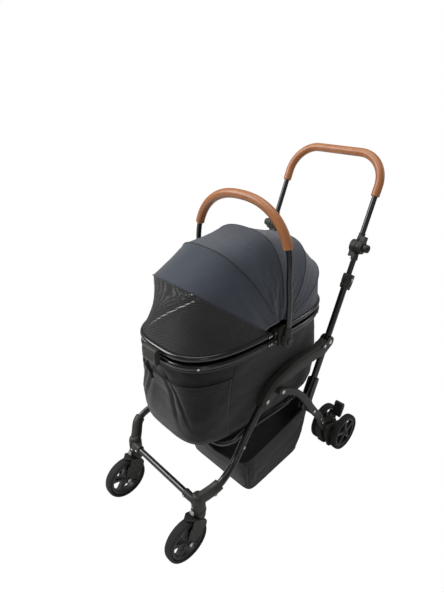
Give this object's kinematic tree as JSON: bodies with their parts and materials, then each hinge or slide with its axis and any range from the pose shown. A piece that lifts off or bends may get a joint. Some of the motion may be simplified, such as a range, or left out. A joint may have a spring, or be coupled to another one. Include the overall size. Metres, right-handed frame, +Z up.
{
  "type": "pet stroller",
  "caption": "Folding pet stroller with a lift-off hooded pet carrier, swivelling front wheels, twin rear wheels, a basket and a telescoping, tilting push handle.",
  "frame": {"origin": "on the floor, midway between the sides and between the front and back of the object", "axes": "+X to the right-hand side, +Y backwards towards the push handle, +Z up; the wheels stand on z = 0"},
  "size_m": [0.4692, 0.915, 1.0682],
  "materials": {
    "frame_tube": "satin black powder coat on thin steel tube",
    "moulded_plastic": "dark olive-grey moulded plastic, fine texture",
    "wheel_plastic": "dark grey moulded wheel centres",
    "tyre_rubber": "dark foam rubber tread",
    "axle_steel": "plain steel axle",
    "grip_leather": "tan stitched leatherette sleeve",
    "canopy_fabric": "blue-grey woven cloth with a matte face",
    "mesh_fabric": "dark open mesh",
    "bag_fabric": "near-black woven cloth",
    "pad_fabric": "grey quilted pad cover",
    "grey_plastic": "light grey plastic tab"
  },
  "bodies": {
    "frame": {"arch_r": "moulded_plastic", "arch_l": "moulded_plastic", "front_leg_r": "frame_tube", "front_leg_l": "frame_tube", "junction_r": "moulded_plastic", "junction_l": "moulded_plastic", "front_cross_tube": "frame_tube", "cradle_bar": "frame_tube", "storage_basket": "bag_fabric"},
    "fork_r": {"fork_r": "moulded_plastic"},
    "fork_l": {"fork_l": "moulded_plastic"},
    "front_wheel_r": {"front_rim_r": "wheel_plastic", "front_tyre_r": "tyre_rubber"},
    "front_wheel_l": {"front_rim_l": "wheel_plastic", "front_tyre_l": "tyre_rubber"},
    "swivel_lock_r": {"swivel_lock_r": "grey_plastic"},
    "swivel_lock_l": {"swivel_lock_l": "grey_plastic"},
    "push_frame": {"push_tube_r": "frame_tube", "push_tube_l": "frame_tube"},
    "handle_slide": {"inner_tube_r": "frame_tube", "inner_tube_l": "frame_tube"},
    "push_handle": {"handlebar": "frame_tube", "handlebar_grip": "grip_leather"},
    "knuckle_button_r": {"knuckle_button_r": "moulded_plastic"},
    "knuckle_button_l": {"knuckle_button_l": "moulded_plastic"},
    "clamp_lever_r": {"clamp_lever_r": "moulded_plastic"},
    "clamp_lever_l": {"clamp_lever_l": "moulded_plastic"},
    "rear_legs": {"rear_leg_r": "moulded_plastic", "rear_leg_l": "moulded_plastic", "rear_axle": "axle_steel", "rear_housing_r": "moulded_plastic", "rear_housing_l": "moulded_plastic"},
    "rear_wheel_outer_r": {"rear_rim_outer_r": "wheel_plastic", "rear_tyre_outer_r": "tyre_rubber"},
    "rear_wheel_outer_l": {"rear_rim_outer_l": "wheel_plastic", "rear_tyre_outer_l": "tyre_rubber"},
    "rear_wheel_inner_r": {"rear_rim_inner_r": "wheel_plastic", "rear_tyre_inner_r": "tyre_rubber"},
    "rear_wheel_inner_l": {"rear_rim_inner_l": "wheel_plastic", "rear_tyre_inner_l": "tyre_rubber"},
    "brake_pedal_r": {"brake_pedal_r": "moulded_plastic"},
    "brake_pedal_l": {"brake_pedal_l": "moulded_plastic"},
    "slide_sleeve_r": {"slide_sleeve_r": "moulded_plastic"},
    "slide_sleeve_l": {"slide_sleeve_l": "moulded_plastic"},
    "fold_latch": {"fold_latch": "grey_plastic"},
    "carrier": {"carrier_bag": "bag_fabric", "carrier_rim": "frame_tube", "carrier_pad": "pad_fabric", "handle_mount_r": "moulded_plastic", "handle_mount_l": "moulded_plastic", "canopy_mid": "canopy_fabric", "canopy_rear": "canopy_fabric"},
    "lid": {"lid_rim": "frame_tube", "mesh_dome": "mesh_fabric"},
    "lid_latch": {"lid_latch": "moulded_plastic"},
    "canopy_front": {"canopy_front": "canopy_fabric"},
    "carry_handle": {"carry_handle": "frame_tube", "carry_grip": "grip_leather"},
    "release_button_r": {"release_button_r": "moulded_plastic"},
    "release_button_l": {"release_button_l": "moulded_plastic"}
  },
  "joints": [
    {"name": "fork_swivel_r", "type": "hinge", "parent": "frame", "child": "fork_r", "pos_m": [0.159, -0.334, 0.15], "axis": [0, 0, 1], "continuous": true},
    {"name": "front_wheel_spin_r", "type": "hinge", "parent": "fork_r", "child": "front_wheel_r", "pos_m": [0.159, -0.385, 0.07], "axis": [1, 0, 0], "continuous": true},
    {"name": "swivel_lock_turn_r", "type": "hinge", "parent": "frame", "child": "swivel_lock_r", "pos_m": [0.159, -0.3578, 0.1513], "axis": [1, 0, 0], "range_deg": [0, 20]},
    {"name": "fork_swivel_l", "type": "hinge", "parent": "frame", "child": "fork_l", "pos_m": [-0.159, -0.334, 0.15], "axis": [0, 0, 1], "continuous": true},
    {"name": "front_wheel_spin_l", "type": "hinge", "parent": "fork_l", "child": "front_wheel_l", "pos_m": [-0.159, -0.385, 0.07], "axis": [1, 0, 0], "continuous": true},
    {"name": "swivel_lock_turn_l", "type": "hinge", "parent": "frame", "child": "swivel_lock_l", "pos_m": [-0.159, -0.3578, 0.1513], "axis": [1, 0, 0], "range_deg": [0, 20]},
    {"name": "rear_leg_fold", "type": "hinge", "parent": "frame", "child": "rear_legs", "pos_m": [0, -0.032, 0.433], "axis": [-1, 0, 0], "range_deg": [0, 60]},
    {"name": "push_frame_fold", "type": "hinge", "parent": "frame", "child": "push_frame", "pos_m": [0, 0.21464, 0.49643], "axis": [-1, 0, 0], "range_deg": [0, 27]},
    {"name": "handle_telescope", "type": "slide", "parent": "push_frame", "child": "handle_slide", "axis": [0, 0.3845, 0.9231], "range_m": [0, 0.1]},
    {"name": "handle_tilt", "type": "hinge", "parent": "handle_slide", "child": "push_handle", "pos_m": [0, 0.33652, 0.78907], "axis": [-1, 0, 0], "range_deg": [-30, 110]},
    {"name": "knuckle_button_press_r", "type": "slide", "parent": "push_handle", "child": "knuckle_button_r", "axis": [-1, 0, 0], "range_m": [0, 0.003], "stiffness_N_per_m": 300, "springref_m": -0.003},
    {"name": "clamp_lever_turn_r", "type": "hinge", "parent": "push_frame", "child": "clamp_lever_r", "pos_m": [0.1748, 0.31749, 0.69733], "axis": [1, 0, 0], "range_deg": [0, 60]},
    {"name": "knuckle_button_press_l", "type": "slide", "parent": "push_handle", "child": "knuckle_button_l", "axis": [1, 0, 0], "range_m": [0, 0.003], "stiffness_N_per_m": 300, "springref_m": -0.003},
    {"name": "clamp_lever_turn_l", "type": "hinge", "parent": "push_frame", "child": "clamp_lever_l", "pos_m": [-0.1748, 0.31749, 0.69733], "axis": [1, 0, 0], "range_deg": [0, 60]},
    {"name": "rear_wheel_spin_outer_r", "type": "hinge", "parent": "rear_legs", "child": "rear_wheel_outer_r", "pos_m": [0.2196, 0.327, 0.07], "axis": [1, 0, 0], "continuous": true},
    {"name": "rear_wheel_spin_outer_l", "type": "hinge", "parent": "rear_legs", "child": "rear_wheel_outer_l", "pos_m": [-0.2196, 0.327, 0.07], "axis": [1, 0, 0], "continuous": true},
    {"name": "rear_wheel_spin_inner_r", "type": "hinge", "parent": "rear_legs", "child": "rear_wheel_inner_r", "pos_m": [0.1336, 0.327, 0.07], "axis": [1, 0, 0], "continuous": true},
    {"name": "rear_wheel_spin_inner_l", "type": "hinge", "parent": "rear_legs", "child": "rear_wheel_inner_l", "pos_m": [-0.1336, 0.327, 0.07], "axis": [1, 0, 0], "continuous": true},
    {"name": "brake_pedal_turn_r", "type": "hinge", "parent": "rear_legs", "child": "brake_pedal_r", "pos_m": [0.1766, 0.338, 0.1215], "axis": [-1, 0, 0], "range_deg": [0, 20]},
    {"name": "brake_pedal_turn_l", "type": "hinge", "parent": "rear_legs", "child": "brake_pedal_l", "pos_m": [-0.1766, 0.338, 0.1215], "axis": [-1, 0, 0], "range_deg": [0, 20]},
    {"name": "slide_sleeve_turn_r", "type": "hinge", "parent": "rear_legs", "child": "slide_sleeve_r", "pos_m": [0.19, 0.1435, 0.26], "axis": [-1, 0, 0], "range_deg": [-34, 0]},
    {"name": "slide_sleeve_turn_l", "type": "hinge", "parent": "rear_legs", "child": "slide_sleeve_l", "pos_m": [-0.19, 0.1435, 0.26], "axis": [-1, 0, 0], "range_deg": [-34, 0]},
    {"name": "fold_latch_turn", "type": "hinge", "parent": "slide_sleeve_r", "child": "fold_latch", "pos_m": [0.157, 0.14344, 0.30335], "axis": [1, 0, 0], "range_deg": [0, 15]},
    {"name": "carrier_lift", "type": "slide", "parent": "frame", "child": "carrier", "axis": [0, 0, 1], "range_m": [0, 0.45]},
    {"name": "carry_handle_fold", "type": "hinge", "parent": "carrier", "child": "carry_handle", "pos_m": [0, -0.016, 0.6], "axis": [-1, 0, 0], "range_deg": [-85, 60]},
    {"name": "release_button_press_r", "type": "slide", "parent": "carry_handle", "child": "release_button_r", "axis": [-1, 0, 0], "range_m": [0, 0.003], "stiffness_N_per_m": 300, "springref_m": -0.003},
    {"name": "release_button_press_l", "type": "slide", "parent": "carry_handle", "child": "release_button_l", "axis": [1, 0, 0], "range_m": [0, 0.003], "stiffness_N_per_m": 300, "springref_m": -0.003},
    {"name": "lid_open", "type": "hinge", "parent": "carrier", "child": "lid", "pos_m": [0, -0.056, 0.624], "axis": [-1, 0, 0], "range_deg": [0, 85], "deforming": ["mesh_dome", "canopy_mid"]},
    {"name": "lid_latch_turn", "type": "hinge", "parent": "lid", "child": "lid_latch", "pos_m": [0, -0.3402, 0.636], "axis": [-1, 0, 0], "range_deg": [0, 20]},
    {"name": "canopy_front_fold", "type": "hinge", "parent": "carrier", "child": "canopy_front", "pos_m": [0, -0.018, 0.634], "axis": [-1, 0, 0], "range_deg": [0, 34], "deforming": ["canopy_front"]}
  ],
  "couplings": [
    {"joint": "push_frame_fold", "follows": "rear_leg_fold", "ratio": 0.44},
    {"joint": "slide_sleeve_turn_r", "follows": "rear_leg_fold", "ratio": -0.56},
    {"joint": "slide_sleeve_turn_l", "follows": "rear_leg_fold", "ratio": -0.56},
    {"joint": "canopy_front_fold", "follows": "lid_open", "ratio": 0.39}
  ]
}
